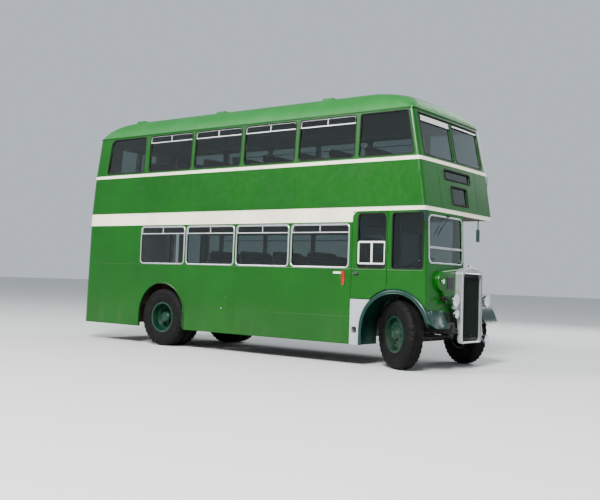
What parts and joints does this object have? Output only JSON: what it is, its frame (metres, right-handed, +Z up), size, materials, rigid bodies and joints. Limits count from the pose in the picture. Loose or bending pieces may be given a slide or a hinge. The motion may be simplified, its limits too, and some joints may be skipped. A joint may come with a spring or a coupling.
{
  "type": "half-cab double decker bus",
  "caption": "Half-cab double decker bus with an open rear platform, an exposed radiator, a separate driver's cab and rounded roof, steered front wheels and twin rear wheels.",
  "frame": {"origin": "on the ground at the middle of the bus's length and width", "axes": "+X forward, +Y to the nearside (left), +Z up"},
  "size_m": [7.853, 2.5814, 4.34],
  "materials": {
    "green": "gloss",
    "dark_green": "gloss",
    "wheel_green": "satin",
    "cream": "gloss",
    "panel_cream": "satin",
    "panel_grey": "satin",
    "rail_cream": "gloss",
    "chassis_black": "satin",
    "black": "satin",
    "engine_grey": "rough",
    "radiator_silver": "satin",
    "radiator_dark": "satin",
    "bright_frame": "satin",
    "lamp_silver": "polished",
    "floor_brown": "worn",
    "stair_brown": "worn",
    "seat_cloth": "woven",
    "seat_frame": "satin",
    "tyre": "matt",
    "glass": "clear"
  },
  "bodies": {
    "body": {"chassis_frame": "chassis_black", "fuel_tank": "chassis_black", "engine": "engine_grey", "front_axle": "chassis_black", "rear_axle": "chassis_black", "lower_floor": "floor_brown", "upper_floor": "floor_brown", "staircase": "stair_brown", "offside_lower_wall": "green", "nearside_lower_wall": "green", "lower_tail_wall": "green", "front_bulkhead": "green", "rear_bulkhead": "panel_cream", "middle_band": "cream", "upper_front_wall": "green", "upper_tail_wall": "green", "offside_upper_wall": "green", "nearside_upper_wall": "green", "roof": "green", "destination_boxes": "black", "window_glass": "glass", "vent_frames": "bright_frame", "cab_shell": "green", "radiator_shell": "radiator_silver", "radiator_core": "radiator_dark", "front_mudguards": "dark_green", "step_panels": "panel_grey", "lamps": "lamp_silver", "mirrors": "dark_green", "hand_rails": "rail_cream", "steering_column": "black", "driver_seat": "seat_cloth", "driver_seat_base": "black", "lower_seats": "seat_cloth", "lower_seat_frames": "seat_frame", "upper_seats": "seat_cloth", "upper_seat_frames": "seat_frame"},
    "cab_door": {"cab_door": "green", "cab_door_glass": "glass"},
    "bonnet": {"bonnet": "green"},
    "emergency_door": {"emergency_door": "green", "emergency_door_glass": "glass"},
    "knuckle_offside": {"knuckle_offside": "chassis_black"},
    "knuckle_nearside": {"knuckle_nearside": "chassis_black"},
    "track_rod": {"track_rod": "chassis_black"},
    "steering_wheel": {"steering_wheel": "black"},
    "front_wheel_offside": {"front_wheel_offside": "wheel_green", "front_tyre_offside": "tyre"},
    "front_wheel_nearside": {"front_wheel_nearside": "wheel_green", "front_tyre_nearside": "tyre"},
    "rear_wheels_offside": {"rear_wheels_offside": "wheel_green", "rear_tyres_offside": "tyre"},
    "rear_wheels_nearside": {"rear_wheels_nearside": "wheel_green", "rear_tyres_nearside": "tyre"}
  },
  "joints": [
    {"name": "steer_offside", "type": "hinge", "parent": "body", "child": "knuckle_offside", "pos_m": [3.2725, -0.86, 0.518], "axis": [0, 0, 1], "range_deg": [-8, 68]},
    {"name": "steer_nearside", "type": "hinge", "parent": "body", "child": "knuckle_nearside", "pos_m": [3.2725, 0.86, 0.518], "axis": [0, 0, 1], "range_deg": [-8, 68]},
    {"name": "track_rod_swing", "type": "hinge", "parent": "knuckle_offside", "child": "track_rod", "pos_m": [3.12528, -0.775, 0.405], "axis": [0, 0, 1], "range_deg": [-68, 8]},
    {"name": "steering_wheel_turn", "type": "hinge", "parent": "body", "child": "steering_wheel", "pos_m": [3.3625, -0.7, 1.56], "axis": [-0.4695, 0, 0.8829], "range_deg": [-160, 1360]},
    {"name": "front_spin_offside", "type": "hinge", "parent": "knuckle_offside", "child": "front_wheel_offside", "pos_m": [3.22, -0.95093, 0.518], "axis": [0.5, 0.866, 0], "continuous": true},
    {"name": "front_spin_nearside", "type": "hinge", "parent": "knuckle_nearside", "child": "front_wheel_nearside", "pos_m": [3.325, 0.95093, 0.518], "axis": [0.5, 0.866, 0], "continuous": true},
    {"name": "rear_spin_offside", "type": "hinge", "parent": "body", "child": "rear_wheels_offside", "pos_m": [-1.7275, -0.995, 0.518], "axis": [0, 1, 0], "continuous": true},
    {"name": "rear_spin_nearside", "type": "hinge", "parent": "body", "child": "rear_wheels_nearside", "pos_m": [-1.7275, 0.995, 0.518], "axis": [0, 1, 0], "continuous": true},
    {"name": "cab_door_hinge", "type": "hinge", "parent": "body", "child": "cab_door", "pos_m": [3.0645, -1.151, 1.79], "axis": [0, 0, 1], "range_deg": [0, 80]},
    {"name": "bonnet_hinge", "type": "hinge", "parent": "body", "child": "bonnet", "pos_m": [3.2225, 0.06, 1.508], "axis": [1, 0, 0], "range_deg": [0, 70]},
    {"name": "emergency_door_hinge", "type": "hinge", "parent": "body", "child": "emergency_door", "pos_m": [-3.76705, 0, 3.87869], "axis": [0, 1, 0], "range_deg": [0, 75]}
  ],
  "couplings": [
    {"joint": "steer_nearside", "follows": "steer_offside", "ratio": 1},
    {"joint": "track_rod_swing", "follows": "steer_offside", "ratio": -1},
    {"joint": "steering_wheel_turn", "follows": "steer_offside", "ratio": 20}
  ]
}
